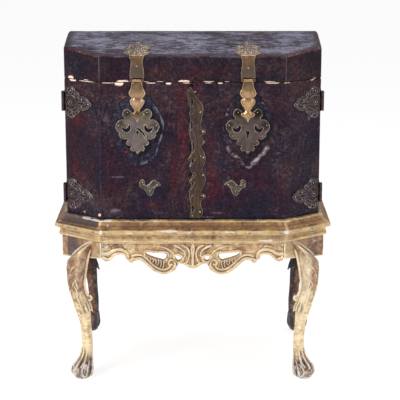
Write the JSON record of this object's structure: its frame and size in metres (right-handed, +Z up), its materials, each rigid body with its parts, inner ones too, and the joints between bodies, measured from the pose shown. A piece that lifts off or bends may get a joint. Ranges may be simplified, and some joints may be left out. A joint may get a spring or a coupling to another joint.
{
  "type": "travel trunk on stand",
  "caption": "Leather-covered travel trunk with canted front corners, hinged domed lid, paired front doors, brass hasps and locks, on a carved gilded stand with cabriole legs.",
  "frame": {"origin": "floor under the middle of the stand", "axes": "+Z up, -Y to the front, +X to the right of someone facing the front"},
  "size_m": [0.909, 0.639, 1.128],
  "materials": {
    "leather": "worn, dark aubergine",
    "carcass_wood": "plain, waxed",
    "brass": "aged, rubbed on the high parts",
    "bronze": "dark patina",
    "iron": "forged, dark",
    "gilt_wood": "worn gilding over gesso",
    "rail_wood": "bare, dark"
  },
  "bodies": {
    "stand": {"stand_top_frame": "gilt_wood", "front_apron": "gilt_wood", "left_side_rail": "gilt_wood", "right_side_rail": "gilt_wood", "back_rail": "rail_wood", "front_left_leg": "gilt_wood", "front_right_leg": "gilt_wood", "rear_left_leg": "gilt_wood", "rear_right_leg": "gilt_wood"},
    "trunk": {"trunk_left_side": "carcass_wood", "trunk_right_side": "carcass_wood", "trunk_back": "carcass_wood", "trunk_floor": "carcass_wood", "trunk_leather": "leather", "left_upper_hinge_side_leaf": "bronze", "left_upper_hinge_pin": "iron", "left_lower_hinge_side_leaf": "bronze", "left_lower_hinge_pin": "iron", "left_lid_hinge_body_leaf": "iron", "left_handle_plate": "iron", "right_upper_hinge_side_leaf": "bronze", "right_upper_hinge_pin": "iron", "right_lower_hinge_side_leaf": "bronze", "right_lower_hinge_pin": "iron", "right_lid_hinge_body_leaf": "iron", "right_handle_plate": "iron"},
    "lid": {"lid_leather": "leather", "lid_top_board": "carcass_wood", "lid_rim": "carcass_wood", "left_lid_strap": "brass", "left_hasp_pin": "iron", "left_lid_hinge_lid_leaf": "iron", "right_lid_strap": "brass", "right_hasp_pin": "iron", "right_lid_hinge_lid_leaf": "iron"},
    "left_door": {"left_door_board": "carcass_wood", "left_door_leather": "leather", "left_lock_plate": "brass", "left_lock_case": "iron", "left_leaf_ornament": "brass", "left_upper_hinge_door_leaf": "bronze", "left_lower_hinge_door_leaf": "bronze"},
    "left_bolt": {"left_lock_bolt": "iron"},
    "left_hasp": {"left_hasp": "brass", "left_staple": "iron"},
    "left_handle": {"left_handle_bail": "iron"},
    "right_door": {"right_door_board": "carcass_wood", "right_door_leather": "leather", "right_lock_plate": "brass", "right_lock_case": "iron", "right_leaf_ornament": "brass", "right_upper_hinge_door_leaf": "bronze", "right_lower_hinge_door_leaf": "bronze", "meeting_strap": "brass"},
    "right_bolt": {"right_lock_bolt": "iron"},
    "right_hasp": {"right_hasp": "brass", "right_staple": "iron"},
    "right_handle": {"right_handle_bail": "iron"}
  },
  "joints": [
    {"name": "trunk_lift", "type": "slide", "parent": "stand", "child": "trunk", "axis": [0, 0, 1], "range_m": [0, 0.2]},
    {"name": "lid_hinge", "type": "hinge", "parent": "trunk", "child": "lid", "pos_m": [0, 0.2854, 1], "axis": [-1, 0, 0], "range_deg": [0, 105]},
    {"name": "left_door_hinge", "type": "hinge", "parent": "trunk", "child": "left_door", "pos_m": [-0.4204, -0.19065, 0.773], "axis": [0, 0, -1], "range_deg": [0, 115]},
    {"name": "right_door_hinge", "type": "hinge", "parent": "trunk", "child": "right_door", "pos_m": [0.4204, -0.19065, 0.773], "axis": [0, 0, 1], "range_deg": [0, 115]},
    {"name": "left_hasp_hinge", "type": "hinge", "parent": "lid", "child": "left_hasp", "pos_m": [-0.176, -0.2854, 1.0068], "axis": [-1, 0, 0], "range_deg": [0, 150]},
    {"name": "right_hasp_hinge", "type": "hinge", "parent": "lid", "child": "right_hasp", "pos_m": [0.176, -0.2854, 1.0068], "axis": [-1, 0, 0], "range_deg": [0, 150]},
    {"name": "left_bolt_slide", "type": "slide", "parent": "left_door", "child": "left_bolt", "axis": [1, 0, 0], "range_m": [0, 0.01]},
    {"name": "right_bolt_slide", "type": "slide", "parent": "right_door", "child": "right_bolt", "axis": [1, 0, 0], "range_m": [0, 0.01]},
    {"name": "left_handle_hinge", "type": "hinge", "parent": "trunk", "child": "left_handle", "pos_m": [-0.4235, 0.046, 0.815], "axis": [0, 1, 0], "range_deg": [0, 90]},
    {"name": "right_handle_hinge", "type": "hinge", "parent": "trunk", "child": "right_handle", "pos_m": [0.4235, 0.046, 0.815], "axis": [0, -1, 0], "range_deg": [0, 90]}
  ]
}
